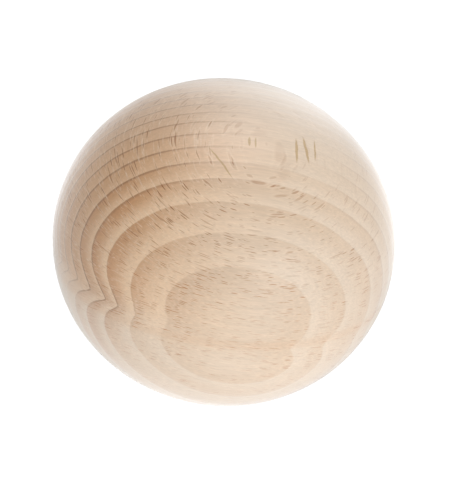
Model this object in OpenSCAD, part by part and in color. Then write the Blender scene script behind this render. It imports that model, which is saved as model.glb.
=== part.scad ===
// Solid wooden ball, turned from one block of beech.
//
// The ball leaves the lathe round. As the wood dries it shrinks about twice as
// much along its growth rings as across them, and hardly at all along the
// grain, so the finished ball is slightly oval, with three different diameters.
//
// X runs along the grain. Y runs across the growth rings, from the pith side
// (-Y) to the bark side (+Y). Z runs along the growth rings. The origin is the
// centre of the ball. Millimetres.

/* [Turning] */
// Diameter as turned, which the ball keeps along the grain
turned_d = 50; // [10:1:150]

/* [Drying] */
// Shrinkage across the growth rings since turning, in percent
radial_shrink = 2.5; // [0:0.5:6]
// Shrinkage along the growth rings since turning, in percent
tangential_shrink = 5; // [0:0.5:12]

/* [Preview] */
// Facets round the ball
facets = 128; // [32:8:256]
// Colour of the bare wood
wood_colour = "#DEC4A8"; // [#DEC4A8:Pale beech, #CDA487:Steamed beech, #E6CFA3:Maple]

/* [Hidden] */

// What is left of a turned diameter after it shrinks by a percentage
function dried(d, shrink) = d * (1 - shrink / 100);

// The three diameters of the dried ball
grain_d = turned_d;
radial_d = dried(turned_d, radial_shrink);
tangential_d = dried(turned_d, tangential_shrink);

module ball() {
    color(wood_colour)
        scale([grain_d, radial_d, tangential_d])
            sphere(d = 1, $fn = facets);
}

ball();
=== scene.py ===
# %% [markdown]
# # A turned beech ball
#
# The real object is one block of beech, turned to a ball, sanded and left bare. It has no parts
# to build, so everything that makes it look real is in the wood: growth rings, the flecks of the
# rays, the fine pores, and a surface that sanding has left very slightly uneven.
#
# Wood is the textbook case for a solid texture. A picture wrapped round the ball would smear at
# its poles and show a seam. A formula that says what the tree grew at each point in space cuts
# right everywhere, because the ball's surface is only the place where we look at it. So the
# lesson goes in this order: where the ball lies in the tree, what grew there, the mesh, the
# finish, and last the light and the camera.

# %% Load the fixed frame
import math

import bmesh
import bpy
import numpy as np
from mathutils import Matrix, Vector, noise


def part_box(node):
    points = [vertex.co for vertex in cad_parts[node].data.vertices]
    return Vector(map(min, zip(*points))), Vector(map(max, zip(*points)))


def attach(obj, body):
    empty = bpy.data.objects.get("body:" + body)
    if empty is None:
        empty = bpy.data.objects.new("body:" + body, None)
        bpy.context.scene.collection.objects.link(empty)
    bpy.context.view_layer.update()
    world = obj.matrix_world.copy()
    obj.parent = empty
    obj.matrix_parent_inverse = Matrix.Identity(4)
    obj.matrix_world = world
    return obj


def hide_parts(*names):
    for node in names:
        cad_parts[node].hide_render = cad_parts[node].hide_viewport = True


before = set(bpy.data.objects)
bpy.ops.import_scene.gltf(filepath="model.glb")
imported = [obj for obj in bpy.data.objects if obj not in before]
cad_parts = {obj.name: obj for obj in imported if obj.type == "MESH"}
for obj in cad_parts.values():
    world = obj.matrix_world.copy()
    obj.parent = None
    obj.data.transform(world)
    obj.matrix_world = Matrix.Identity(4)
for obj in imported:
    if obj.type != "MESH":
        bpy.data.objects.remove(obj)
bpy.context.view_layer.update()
MM = 0.001                               # the frame is in metres, the wood is in millimetres
low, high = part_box("ball")
centre = (low + high) / 2
half = (high - low) / 2
print("ball, mm:", [round(size / MM, 2) for size in 2 * half])

# %% [markdown]
# ## Where the ball lies in the tree
#
# The frame's axes are the wood's own: X along the grain, Y outward from the pith to the bark,
# Z round the trunk. The pith line passes about one ball's width from its centre, so the rings
# cross it as gentle arches, and where a ring only grazes the surface it draws the oval bullseye
# that turned balls are known for.
#
# A beech trunk isn't round. This one had a flute, a valley that runs up the trunk and deepens as
# the tree gets older, with a rib beside it. Two short terms describe them. They use operators
# only, so that the same lines work on arrays of numbers for the mesh and on shader sockets for
# the colour.

# %% Growth: the ring radius of a point, with the flute and the rib
PITH_DISTANCE = 50.2                     # from the ball's centre to the pith line, mm
PITH_RISE, PITH_DRIFT = 0.010, 0.015     # how far the pith line leans, per mm of grain
FLUTE_SIDE = -3.7                        # where the valley runs, mm round the trunk
FLUTE_FLANKS = (3.9, 2.4)                # half widths of its two flanks, mm
FLUTE_DENT = 0.3                         # how deep it is in the oldest wood, mm
FLUTE_START, FLUTE_LOSS = 29.7, 0.52     # the ring radius where it deepens, the growth lost in it
FLUTE_DEPTH = 5.0                        # the tree closes in again when it is this deep, mm
FLUTE_SPREAD = 1.5                       # how soon the flanks level out
FLUTE_ENDS, FLUTE_FADE = (13, 19), 0.9   # along the grain, where it fades out
RIB_SIDE, RIB_DRIFT = -3.6, -0.1         # where the rib's slope begins, and its drift per mm of grain
RIB_SLOPE, RIB_TWIST = 0.51, 0.012       # its steepness, and the change of that per mm of grain
RIB_AGES, RIB_LOSS = (28.4, 34.6), 0.36  # ring radii where it weakens, and how much
FAR = 100                                # more than any length in the ball, mm


def ease(value, start, end):
    """0 up to start, 1 from end on, and a smooth S between them."""
    part = ((value - start) / (end - start)).clip(0, 1)
    return part * part * (3 - 2 * part)


def from_pith(grain, bark, side):
    """How far out from the pith line a point is, and how far round."""
    outward = bark + PITH_DISTANCE + PITH_RISE * grain
    around = side + PITH_DRIFT * grain
    return outward, around


def ring_radius(grain, bark, side):
    """The radius of the growth ring through a point, which is the same all along that ring."""
    outward, around = from_pith(grain, bark, side)
    radius = (outward * outward + around * around) ** 0.5
    above = (side - FLUTE_SIDE).clip(0, FAR) / FLUTE_FLANKS[0]
    below = (FLUTE_SIDE - side).clip(0, FAR) / FLUTE_FLANKS[1]
    valley = (1 - FLUTE_FADE * ease(grain, *FLUTE_ENDS)) / (1 + (above + below) ** FLUTE_SPREAD)
    loss = FLUTE_LOSS * valley
    lost = (radius - FLUTE_START).clip(0, FAR) * loss / (1 - loss)
    rib = (RIB_SIDE + RIB_DRIFT * grain - side).clip(0, FAR) * (RIB_SLOPE + RIB_TWIST * grain)
    rib = rib * (1 - RIB_LOSS * ease(radius, *RIB_AGES))
    return radius + FLUTE_DENT * valley + lost.clip(0, FLUTE_DEPTH * valley) - rib


ends = np.array([[-half.x, 0, 0], [0, -half.y, 0], [0, half.y, 0]]) / MM
print("ring radius at the left end, the pith side and the bark side:",
      ring_radius(*ends.T).round(1))

# %% [markdown]
# ## Good years and poor years
#
# A ring is one summer. Beech starts the year with pale, open wood and ends it with denser,
# darker wood, and then stops dead for the winter. So across a ring the colour deepens slowly and
# breaks off sharply, and that one-sided edge is what the eye reads as real wood. A sine wave, the
# usual shortcut, gives soft stripes instead.
#
# Years differ too. The list below holds each year's width and how dark its late wood came out,
# from the pith side to the bark side. The radius is looked up on the line through those widths,
# which gives the year number with the part of the year as its fraction.

# %% Years: widths in mm and the darkness of their late wood
YEARS = [(3.0, 0.85), (3.4, 0.75), (4.0, 0.90), (3.4, 0.95), (2.6, 0.80), (2.6, 0.55), (2.4, 0.70),
         (2.4, 0.50), (2.0, 0.50), (2.0, 0.40), (2.0, 0.40), (1.9, 0.50), (2.1, 0.40), (2.3, 0.55),
         (1.8, 0.60), (1.6, 0.50), (1.9, 0.40), (2.2, 0.50), (1.8, 0.60), (1.5, 0.50), (1.7, 0.40),
         (2.0, 0.55)]
FIRST_RING = 25.4
ring_edges = FIRST_RING + np.concatenate([[0], np.cumsum([width for width, dark in YEARS])])
LATE_BEGINS, LATE_FULL = 0.0, 0.82       # parts of the year
WINTER = 0.94                            # where the edge starts to break off


def late_wood(year):
    """0 in the spring's wood, 1 in the autumn's, with a sharp edge at the turn of the year."""
    part = year % 1
    return ease(part, LATE_BEGINS, LATE_FULL) * (1 - ease(part, WINTER, 1))


print(len(YEARS), "years, from radius", ring_edges[0], "to", ring_edges[-1].round(1), "mm")

# %% [markdown]
# ## The mesh
#
# A UV sphere crowds its faces at two poles, and an icosphere has no tidy way to lie flat. A cube
# whose faces are bulged into a ball has even faces, and its six sides fill a texture sheet
# exactly, three by two, which keeps a baked finish sharp.
#
# The surface isn't a perfect one. Sanding takes a little more from the soft early wood than from
# the late wood, and leaves faint flats where the ball met the paper. All of it is cut inward from
# the fixed size, so that the ball never grows.

# %% Bulge a cube into a ball, with its six sides side by side on one sheet
CELLS = 128                              # faces along one side of the cube
SIDES = [((1, 0, 0), (0, 1, 0), (0, 0, 1)), ((-1, 0, 0), (0, -1, 0), (0, 0, 1)),
         ((0, 1, 0), (-1, 0, 0), (0, 0, 1)), ((0, -1, 0), (1, 0, 0), (0, 0, 1)),
         ((0, 0, 1), (0, 1, 0), (-1, 0, 0)), ((0, 0, -1), (0, 1, 0), (1, 0, 0))]
SHEET_SIDES = (3, 2)                     # how many sides lie across the sheet and up it
SHEET_GAP = 0.004                        # clear border round each side on the sheet
SAME_CORNER = 0.1                        # corners nearer than this part of a face are joined

steps = np.linspace(-1, 1, CELLS + 1)
across, up = np.meshgrid(steps, steps, indexing="ij")
corner = np.arange((CELLS + 1) ** 2).reshape(CELLS + 1, CELLS + 1)
quads = np.stack([corner[:-1, :-1], corner[1:, :-1], corner[1:, 1:], corner[:-1, 1:]], -1)
quads = quads.reshape(-1, 4)
points, faces, sheet = [], [], []
for number, (out, right, above) in enumerate(SIDES):
    bulge_right, bulge_up = (np.tan(place * math.pi / 4)[..., None] for place in (across, up))
    cube = np.array(out) + bulge_right * np.array(right) + bulge_up * np.array(above)
    points.append((cube / np.linalg.norm(cube, axis=-1, keepdims=True)).reshape(-1, 3))
    faces.append(quads + number * corner.size)
    cell = np.stack([(across + 1) / 2, (up + 1) / 2], -1) * (1 - 2 * SHEET_GAP) + SHEET_GAP
    cell = (cell + [number % SHEET_SIDES[0], number // SHEET_SIDES[0]]) / SHEET_SIDES
    sheet.append(cell.reshape(-1, 2)[quads].reshape(-1, 2))

mesh = bpy.data.meshes.new("beech_ball")
mesh.from_pydata(np.concatenate(points), [], np.concatenate(faces).tolist())
mesh.uv_layers.new(name="OFBake").data.foreach_set("uv", np.concatenate(sheet).ravel())
work = bmesh.new()
work.from_mesh(mesh)
bmesh.ops.remove_doubles(work, verts=work.verts, dist=SAME_CORNER / CELLS)
work.to_mesh(mesh)
work.free()
print("mesh:", len(mesh.vertices), "points,", len(mesh.polygons), "faces")

# %% Give it its size, and sand it
EARLY_WORN = 0.03                        # how much lower the early wood is, mm
FLAT_DEPTH, FLAT_SIZE = 0.05, 9.0        # the flats that sanding leaves, mm

around_ball = np.empty(len(mesh.vertices) * 3)
mesh.vertices.foreach_get("co", around_ball)
around_ball = around_ball.reshape(-1, 3)
surface = around_ball * np.array(half) / MM
year_number = np.interp(ring_radius(*surface.T), ring_edges, np.arange(len(ring_edges)))
flats = np.array([noise.noise(Vector(point) / FLAT_SIZE) for point in surface])
worn = EARLY_WORN * (1 - late_wood(year_number)) + FLAT_DEPTH * (1 + flats) / 2
surface = surface - around_ball * worn[:, None]
mesh.vertices.foreach_set("co", (surface * MM + np.array(centre)).ravel())
mesh.shade_smooth()
mesh.update()
ball = bpy.data.objects.new("beech_ball", mesh)
bpy.context.scene.collection.objects.link(ball)
print("sanding took off at most", worn.max().round(3), "mm")

# %% [markdown]
# ## Writing shader maths as Python
#
# A wood formula has dozens of steps, and dozens of Math nodes wired by hand are hard to read. The
# small class below wraps one output socket. Adding, multiplying or clipping such a value adds the
# node that does it, so a formula reads the same here as it did for the mesh. Every other kind of
# node comes from one method, which takes its settings first and then its inputs.

# %% A shader value that takes part in Python expressions
class Value:
    tree = None                          # the node tree that is being built

    def __init__(self, socket):
        self.socket = socket

    @classmethod
    def node(cls, kind, settings, inputs, output=0):
        """Adds a node, makes its settings, fills its sockets, and returns one output if it has any."""
        made = cls.tree.nodes.new("ShaderNode" + kind)
        for name, setting in settings.items():
            if name == "stops":
                cls.draw_curve(made.mapping, setting)
            else:
                setattr(made, name, setting)
        for name, value in inputs.items():
            if isinstance(value, Value):
                cls.tree.links.new(value.socket, made.inputs[name])
            else:
                made.inputs[name].default_value = value
        return cls(made.outputs[output]) if made.outputs else None

    @staticmethod
    def draw_curve(mapping, stops):
        """Straight lines through the stops, which lie between 0 and 1 both ways."""
        curve = mapping.curves[0]
        while len(curve.points) < len(stops):
            curve.points.new(0.5, 0.5)
        for point, stop in zip(curve.points, stops):
            point.location = stop
            point.handle_type = "VECTOR"
        mapping.update()

    @classmethod
    def maths(cls, operation, *values):
        return cls.node("Math", {"operation": operation}, dict(enumerate(values)))

    def __add__(self, other):
        return self.maths("ADD", self, other)

    def __sub__(self, other):
        return self.maths("SUBTRACT", self, other)

    def __mul__(self, other):
        return self.maths("MULTIPLY", self, other)

    def __truediv__(self, other):
        return self.maths("DIVIDE", self, other)

    def __pow__(self, other):
        return self.maths("POWER", self, other)

    def __mod__(self, other):
        return self.maths("FLOORED_MODULO", self, other)

    def __rsub__(self, other):
        return self.maths("SUBTRACT", other, self)

    def __rtruediv__(self, other):
        return self.maths("DIVIDE", other, self)

    __radd__ = __add__
    __rmul__ = __mul__

    def clip(self, least, most):
        return self.node("Clamp", {}, {"Value": self, "Min": least, "Max": most})


def vector(x, y, z):
    return Value.node("CombineXYZ", {}, {"X": x, "Y": y, "Z": z})


def blend(amount, first, second, kind="MIX"):
    """Mixes two colours, which the Mix node takes at inputs 6 and 7 and gives at output 2."""
    settings = {"data_type": "RGBA", "blend_type": kind}
    return Value.node("Mix", settings, {0: amount, 6: first, 7: second}, 2)


def cloud(place, detail=2.0):
    """Soft noise between -1 and 1."""
    return Value.node("TexNoise", {}, {"Vector": place, "Scale": 1.0, "Detail": detail}) * 2 - 1


def look_up(value, places, results):
    """Reads a value off the line through places and results, which starts at result 0."""
    span, top = places[-1] - places[0], max(results)
    stops = [((place - places[0]) / span, result / top) for place, result in zip(places, results)]
    return Value.node("FloatCurve", {"stops": stops}, {"Value": (value - places[0]) / span}) * top


wood = bpy.data.materials.new("bare_beech")
wood.use_nodes = True
wood.node_tree.nodes.clear()
Value.tree = wood.node_tree
print("maths nodes write themselves into", wood.name)

# %% [markdown]
# ## The rings in the shader
#
# The shader starts from the point's place in the ball, in millimetres, and asks the same formula
# for its ring radius. Real rings tremble a little, because the tree grows a little unevenly, so
# two noises push the radius to and fro: one slow, one fine, both drawn out along the grain.
#
# The wood of this ball isn't the same all over. At its left end it is warm, with strong rings.
# Elsewhere the rings grow faint toward the bark, and come back a little at the far side. Deep in
# the flute the tree nearly stopped growing, so the rings are pinched there and look darker.

# %% Place in the tree, and the year that grew there
WARM_END = (-8, 18)                      # along the grain, from the cool end to the warm end, mm
WARM_SIDE = (-9, 0)                      # and round the trunk, where the warm wood begins
FADE_AGES, FADE = (37, 47), 0.85         # ring radii where the rings grow faint, and how faint
RETURN_AGES, RETURN = (61, 68), 0.5      # and where they come back in part
RIGHT_END, RIGHT_KEPT = (9, 17), 0.4     # along the grain, where less of them is lost
LINE_DRAWN, LINE_BROKEN = (0.80, 0.92), (0.96, 1)   # the thin dark line at the end of the year
PINCH_REACH = (0.5, 9)                   # squares of how far the pinch reaches round the trunk, mm2
PINCH_END = (13, 17)                     # and how far toward the warm end it starts, mm
SEAM_SIDE, SEAM_DRIFT, SEAM_REACH = -4.3, 0.085, 1.0   # the faint line where the flanks met
SLOW_SIZE, SLOW = (22, 6), 0.25          # the slow tremble, along and across the grain, mm
QUICK_SIZE, QUICK = (5, 0.9), 0.07       # and the fine one
YEAR_READ = 0.7                          # the part of a year where its own darkness is reached

place = Value.node("TexCoord", {}, {}, "Object")
grain, bark, side = (Value.node("SeparateXYZ", {}, {"Vector": place}, axis) / MM for axis in "XYZ")
leftward = 0 - grain                     # toward the warm end


def streaks(size, detail=2.0):
    """Soft noise drawn out along the grain."""
    return cloud(vector(grain / size[0], bark / size[1], side / size[1]), detail)


fine_tremble = streaks(QUICK_SIZE) * QUICK
radius = ring_radius(grain, bark, side) + streaks(SLOW_SIZE) * SLOW + fine_tremble
year = look_up(radius, ring_edges, np.arange(len(ring_edges)))
dark_years = look_up(year, np.arange(len(YEARS)) + YEAR_READ, [dark for width, dark in YEARS])
warmth = ease(leftward, *WARM_END) * ease(side, *WARM_SIDE)
right_end = ease(grain, *RIGHT_END)
fade = ease(radius, *FADE_AGES) * (1 - RETURN * ease(radius, *RETURN_AGES))
fade = fade * (1 - warmth) * (1 - RIGHT_KEPT * right_end)
lateness = late_wood(year) * dark_years * (1 - FADE * fade)
part = year % 1
winter_line = ease(part, *LINE_DRAWN) * (1 - ease(part, *LINE_BROKEN))
off_flute = (side - FLUTE_SIDE) * (side - FLUTE_SIDE)
pinch = (1 - ease(off_flute, *PINCH_REACH)) * ease(leftward, *PINCH_END)
off_seam = side - SEAM_SIDE - SEAM_DRIFT * grain
seam = 1 - ease(off_seam * off_seam, 0, SEAM_REACH)
print("rings done:", len(Value.tree.nodes), "nodes so far")

# %% [markdown]
# ## Rays
#
# Rays are thin upright sheets of cells that run from the pith towards the bark. Beech is known
# for them. Looked at from the bark or the pith side they are short dark dashes along the grain.
# Where the surface runs along them they turn into broad flecks. One pattern of flat ellipsoids,
# laid out along the grain, round the trunk and outward, is cut into both by the ball itself. The
# wood that hugs a ray is a little paler than the rest.
#
# A pattern can't say where the few rays lie that catch the eye. Those are set one by one.

# %% Three sizes of ray
# cells of the pattern along the grain, round the trunk and outward, mm; their full part; a seed
FINE_RAYS = (1.7, 0.24, 4.0, 0.90, 0)
LONG_RAYS = (3.2, 0.36, 6, 0.60, 3.1)
BROAD_RAYS = (4.0, 0.9, 8, 0.14, 7.3)
WANDER_SIZE, WANDER = (6, 9, 6), 0.4     # rays don't run quite straight out, mm
RAY_MOST = 0.42                          # the biggest ray's reach, like all below in parts of a cell
RAY_CORE, RAY_EDGE = 0.6, 0.02           # the part of a ray that is fully dark, its soft edge
HUG_STARTS, HUG_ENDS = 0.06, 0.22        # how far outside the ray the pale wood is
HUG_FULL = 0.2                           # small rays below this reach have less of it

outward, around = from_pith(grain, bark, side)
fan = around / outward * PITH_DISTANCE   # constant on each plane that a ray can lie in


def rays(length, thickness, depth, fullness, seed):
    """Flat ellipsoids, as two masks: the ray itself and the pale wood that hugs it."""
    long_size, out_size, round_size = WANDER_SIZE
    wander = cloud(vector(grain / long_size, bark / out_size, side / round_size + seed)) * WANDER
    spot = vector(grain / length + seed, (fan + wander) / thickness, outward / depth)
    inputs = {"Vector": spot, "Scale": 1.0}
    near = Value.node("TexVoronoi", {}, inputs, "Distance")
    luck = Value.node("SeparateColor", {}, {"Color": Value.node("TexVoronoi", {}, inputs, "Color")})
    reach = (luck - 1 + fullness).clip(0, 1) / fullness * RAY_MOST
    ray = 1 - ease(near, reach * RAY_CORE, reach + RAY_EDGE)
    hug_starts = reach + HUG_STARTS
    hug = ease(near, reach, hug_starts) * (1 - ease(near, hug_starts, reach + HUG_ENDS))
    return ray, hug * ease(reach, 0, HUG_FULL)


fine_rays, fine_hug = rays(*FINE_RAYS)
long_rays, long_hug = rays(*LONG_RAYS)
broad_rays = rays(*BROAD_RAYS)[0]

# %% A few large rays, each in its own place near the top
# place along the grain and toward the bark, half width, half depth, all in mm, and lean
LARGE_RAYS = [(5.1, -10.2, 0.24, 2.1, 0.0), (6.6, -9.5, 0.26, 2.2, 0.2), (8.0, -8.9, 0.15, 1.9, 0.0),
              (-1.9, -10.4, 0.22, 0.8, 0.0), (-1.0, -10.5, 0.16, 0.9, 0.0),
              (-5.9, -13.4, 0.16, 2.4, 0.75)]
LARGE_ABOVE = (10, 12)                   # they are only on this side of the trunk, mm
LARGE_TREMBLE = 1.5                      # how much more they tremble than the rings
LARGE_EDGE = (0.4, 1.2)                  # squares of the parts of its size where a ray fades out


def large_ray(along, toward_bark, half_width, half_depth, lean):
    """One upright leaning lens, as a mask."""
    from_ray = bark - toward_bark
    across = (grain - along + lean * from_ray + fine_tremble * LARGE_TREMBLE) / half_width
    inward = from_ray / half_depth
    return 1 - ease(across * across + inward * inward, *LARGE_EDGE)


large_rays = sum(large_ray(*row) for row in LARGE_RAYS) * ease(side, *LARGE_ABOVE)
print("rays done:", len(Value.tree.nodes), "nodes so far")

# %% [markdown]
# ## Pores, colour and shine
#
# Beech has very fine pores. Along the grain they are hair lines, and on the two ends of the ball
# they are dots, again from one noise drawn out along the grain. The colour is a mix of the pale
# early wood, the pinkish brown late wood and the darker rays. At the left end both kinds of wood
# are warmer and the rays stronger. The upper side of that end is also made a little darker, which
# is painted shade. Toward the bark, which the camera sees as the top of the ball, all of it is
# blended to a pale grey: a painted haze of light.
#
# Late wood is denser and takes a little more shine. The bump lets it stand about a hundredth of a
# millimetre prouder than the mesh does, and the pores and rays lie about as much below. Sanded
# wood also has a nap of loose fibre ends, which is why the edge of the ball looks paler than its
# middle. Sheen, which was made for cloth, does the same here.

# %% The wood between the rays
EARLY_COOL, EARLY_WARM = (0.695, 0.565, 0.440, 1), (0.800, 0.570, 0.375, 1)
LATE_COOL, LATE_WARM = (0.645, 0.490, 0.355, 1), (0.620, 0.365, 0.200, 1)
# painted light: the pale grey of a haze on the upper part of the ball, toward the bark
HAZE_COLOUR = (0.660, 0.560, 0.470, 1)
RAY_COLOUR, LINE_COLOUR = (0.420, 0.150, 0.030, 1), (0.300, 0.140, 0.060, 1)
DEEP_AGES, DEEP = (34, 45), 0.60         # the warm end deepens between these ring radii, and its painted shade sets in there too
STAIN_AGES, STAIN_END, STAIN = (41, 46), (12, 19), 0.30   # its late wood before them is deepest
SEAM = 0.20                              # how much of the late wood's colour the seam has
HAZE_AGES, HAZE, HAZE_SPARED = (43, 58), 0.8, 0.4   # ring radii and strength of the painted haze toward the bark; the warm end keeps part of its colour
LATE_WARMS = 3                           # late wood turns warm only near the very end

early = blend(warmth, EARLY_COOL, EARLY_WARM)
late = blend(warmth ** LATE_WARMS, LATE_COOL, LATE_WARM)
colour = blend(lateness, early, late)
# upper side of the left end, toward the bark: the wood's deeper colour, and also painted shade
deep_and_shaded = warmth * ease(radius, *DEEP_AGES)
colour = blend(deep_and_shaded * DEEP + seam * SEAM, colour, LATE_WARM)
stain = lateness * ease(leftward, *STAIN_END) * (1 - ease(radius, *STAIN_AGES))
colour = blend(stain * STAIN, colour, RAY_COLOUR)
# painted haze: toward the bark the colour is blended to pale grey, less at the warm end
colour = blend(ease(radius, *HAZE_AGES) * (HAZE - HAZE_SPARED * warmth), colour, HAZE_COLOUR)
print("colour of the wood done:", len(Value.tree.nodes), "nodes so far")

# %% The rays and the winter lines on it
OCHRE, HUG_COLOUR = (0.420, 0.260, 0.090, 1), (0.840, 0.690, 0.530, 1)
FINE, LONG, BROAD, LARGE = 0.70, 0.50, 0.12, 0.65   # how dark each size of ray is
IN_EARLY, IN_LATE, IN_WARM = 0.30, 0.85, 0.40       # and how dark in each kind of wood
OUTER_LOSS = 0.6                         # the part of it that is lost where the rings are faint
CALM_SIDE = (-24, -4)                    # round the trunk, where they reach full strength, mm
BROWN_SIDE, BROWN = (2, 12), 0.7         # where they turn browner, mm, and how much
TOP_SIDE, TOP_LOSS = (8, 16), 0.35       # where they are seen broadside and look weaker
LINE_AGES = (34, 42)                     # ring radii where the winter line sets in
LINE, LINE_WARM, LINE_RIGHT = 0.03, 0.60, 0.15      # everywhere, at the warm end, at the right end
LINE_PINCHED = 0.45                      # and in the pinch, where the outer rings have less of it
UNPINCHED_AGES, UNPINCHED = (40, 45), 0.7
HUG, HUG_WARM = 0.20, 0.15               # how pale the wood beside a ray is

ray_strength = (IN_EARLY + IN_LATE * lateness + IN_WARM * warmth) * ease(side, *CALM_SIDE)
top = TOP_LOSS * ease(side, *TOP_SIDE) * (1 - warmth)
ray_strength = ray_strength * (1 - OUTER_LOSS * fade) * (1 - top)
ray_marks = (fine_rays * FINE + long_rays * LONG) * ray_strength + broad_rays * BROAD * (1 - fade)
ray_colour = blend(ease(side, *BROWN_SIDE) * BROWN, RAY_COLOUR, LINE_COLOUR)
colour = blend(ray_marks, colour, ray_colour)
colour = blend(large_rays * LARGE, colour, OCHRE)
line_strength = LINE + LINE_WARM * warmth * warmth + LINE_RIGHT * right_end
pinched = pinch * (1 - UNPINCHED * ease(radius, *UNPINCHED_AGES))
line_strength = line_strength * ease(radius, *LINE_AGES) + LINE_PINCHED * pinched
colour = blend(winter_line * line_strength, colour, LINE_COLOUR)
hug = (fine_hug + long_hug) * (1 - OUTER_LOSS * fade) * (HUG + HUG_WARM * warmth) * (1 - top)
colour = blend(hug, colour, HUG_COLOUR)
print("rays and lines done:", len(Value.tree.nodes), "nodes so far")

# %% Pores, fibres, shine and relief
PORE_SIZE, FIBRE_SIZE, MOTTLE_SIZE = (2.2, 0.16), (6, 0.3), (14, 3)   # along and across, mm
PLAIN, DETAILED = 1.0, 3.0               # how much finer noise each carries
PORE, FIBRE, MOTTLE, PAINTED_SHADE = 0.10, 0.10, 0.05, 0.08   # how much each changes the brightness; the last is painted shade
ROUGH, ROUGH_LATE, ROUGH_PORE = 0.46, 0.08, 0.05    # bare wood, and what late wood and pores change
LATE_PROUD, PORE_LOW, RAY_LOW = 0.012, 0.010, 0.015        # relief, mm
RELIEF = 0.8                             # how much of that relief the light feels
NAP, NAP_ROUGH = 1.0, 0.35               # the loose fibre ends

pores = streaks(PORE_SIZE, PLAIN)
fibres = streaks(FIBRE_SIZE)
mottle = streaks(MOTTLE_SIZE, DETAILED)
# the last term is painted shade: the upper side of the left end is made darker
grey = 1 + mottle * MOTTLE + fibres * FIBRE + pores * PORE - deep_and_shaded * PAINTED_SHADE
colour = blend(1.0, colour, grey, "MULTIPLY")
roughness = ROUGH - ROUGH_LATE * lateness + ROUGH_PORE * pores
height = LATE_PROUD * lateness + PORE_LOW * pores - RAY_LOW * (fine_rays + long_rays)
surface_tilt = Value.node("Bump", {}, {"Strength": RELIEF, "Distance": MM, "Height": height})

shader = Value.node("BsdfPrincipled", {}, {
    "Base Color": colour, "Roughness": roughness, "Normal": surface_tilt,
    "Sheen Weight": NAP, "Sheen Roughness": NAP_ROUGH})
Value.node("OutputMaterial", {}, {"Surface": shader})
mesh.materials.append(wood)
print("finish done:", len(Value.tree.nodes), "nodes in all")

# %% Hand the ball to the frame
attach(ball, "root")
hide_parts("ball")

# %% [markdown]
# ## Table, light and camera
#
# The ball lies on a white light table, which glows a little itself. That is how small things are
# shown without a shadow: the light comes from below as much as from the room. Of the five soft
# lamps two do most of the work, one above and one low to the right. The other three only lift the
# edges. The room is white for the camera but dark for the ball, so that the lamps give it form.
#
# The camera stands far off with a long lens, a little to the left. It looks down on the ball and
# is tilted, so that the bullseye on the pith side comes low and near the middle.

# %% Table
TABLE_RADIUS, TABLE_EDGES = 0.8, 96      # m, and how many straight edges its rim has
ACRYLIC, ACRYLIC_ROUGH = (0.08, 0.08, 0.08, 1), 0.9
GLOW, GLOW_STRENGTH = (1, 1, 1, 1), 1.0

table = bpy.data.meshes.new("light_table")
work = bmesh.new()
bmesh.ops.create_circle(work, cap_ends=True, segments=TABLE_EDGES, radius=TABLE_RADIUS)
work.to_mesh(table)
work.free()
floor = bpy.data.objects.new("light_table", table)
floor.location = (0, 0, low.z)
bpy.context.scene.collection.objects.link(floor)
acrylic = bpy.data.materials.new("white_acrylic")
acrylic.use_nodes = True
Value.tree = acrylic.node_tree
Value.tree.nodes.clear()
glow = Value.node("BsdfPrincipled", {}, {
    "Base Color": ACRYLIC, "Roughness": ACRYLIC_ROUGH,
    "Emission Color": GLOW, "Emission Strength": GLOW_STRENGTH})
Value.node("OutputMaterial", {}, {"Surface": glow})
table.materials.append(acrylic)
print("table, m across:", 2 * TABLE_RADIUS)

# %% Light
ROOM_LIGHT, WHITE = 0.05, 1.1            # what the room gives the ball, and what the camera sees
LAMP_DISTANCE, LAMP_SIZE = 0.6, 0.45     # m
# each lamp's direction from the ball, right, back and up, and its watts
LAMPS = {"above": ((-0.10, 0.20, 0.95), 2.8), "low_right": ((0.50, -0.85, 0.05), 2.5),
         "behind": ((0.19, 0.88, 0.30), 1.2), "right": ((0.97, -0.11, 0.21), 0.7),
         "front": ((-0.19, -0.88, 0.43), 0.7)}

world = bpy.data.worlds.new("studio")
world.use_nodes = True
Value.tree = world.node_tree
Value.tree.nodes.clear()
seen = Value.node("LightPath", {}, {}, "Is Camera Ray")
strength = ROOM_LIGHT + (WHITE - ROOM_LIGHT) * seen
Value.node("OutputWorld", {}, {"Surface": Value.node("Background", {}, {"Strength": strength})})
bpy.context.scene.world = world
for name, (direction, watts) in LAMPS.items():
    lamp = bpy.data.lights.new(name, "AREA")
    lamp.shape = "DISK"
    lamp.size = LAMP_SIZE
    lamp.energy = watts
    lamp_object = bpy.data.objects.new(name, lamp)
    toward = Vector(direction).normalized()
    lamp_object.location = toward * LAMP_DISTANCE
    lamp_object.rotation_euler = toward.to_track_quat("Z", "Y").to_euler()
    bpy.context.scene.collection.objects.link(lamp_object)
print(len(LAMPS), "lamps,", round(sum(watts for direction, watts in LAMPS.values()), 1), "W in all")

# %% Camera
AZIMUTH, ELEVATION, ROLL = (math.radians(angle) for angle in (-12.0, 25.4, 13.2))
LENS, SENSOR = 400, 36                   # a long lens, and the longer side of its sensor, mm
FILL = 0.710                             # the ball's long diameter over the frame's height
AIM_RIGHT = 0.9 * MM                     # the ball sits a little left of the middle
SEES_TO = 10                             # the camera sees nothing further off than this, m

away = Vector((math.sin(AZIMUTH) * math.cos(ELEVATION), -math.cos(AZIMUTH) * math.cos(ELEVATION),
               math.sin(ELEVATION)))
turn = away.to_track_quat("Z", "Y") @ Matrix.Rotation(ROLL, 4, "Z").to_quaternion()
camera = bpy.data.objects.new("camera", bpy.data.cameras.new("camera"))
camera.data.lens = LENS
camera.data.sensor_width = SENSOR
distance = LENS * 2 * half.x / (FILL * SENSOR)
camera.location = centre + away * distance + turn @ Vector((AIM_RIGHT, 0, 0))
camera.rotation_mode = "QUATERNION"
camera.rotation_quaternion = turn
camera.data.clip_end = SEES_TO
bpy.context.scene.collection.objects.link(camera)
bpy.context.scene.camera = camera
bpy.context.scene.view_settings.view_transform = "Standard"
print("camera", round(distance, 3), "m away")
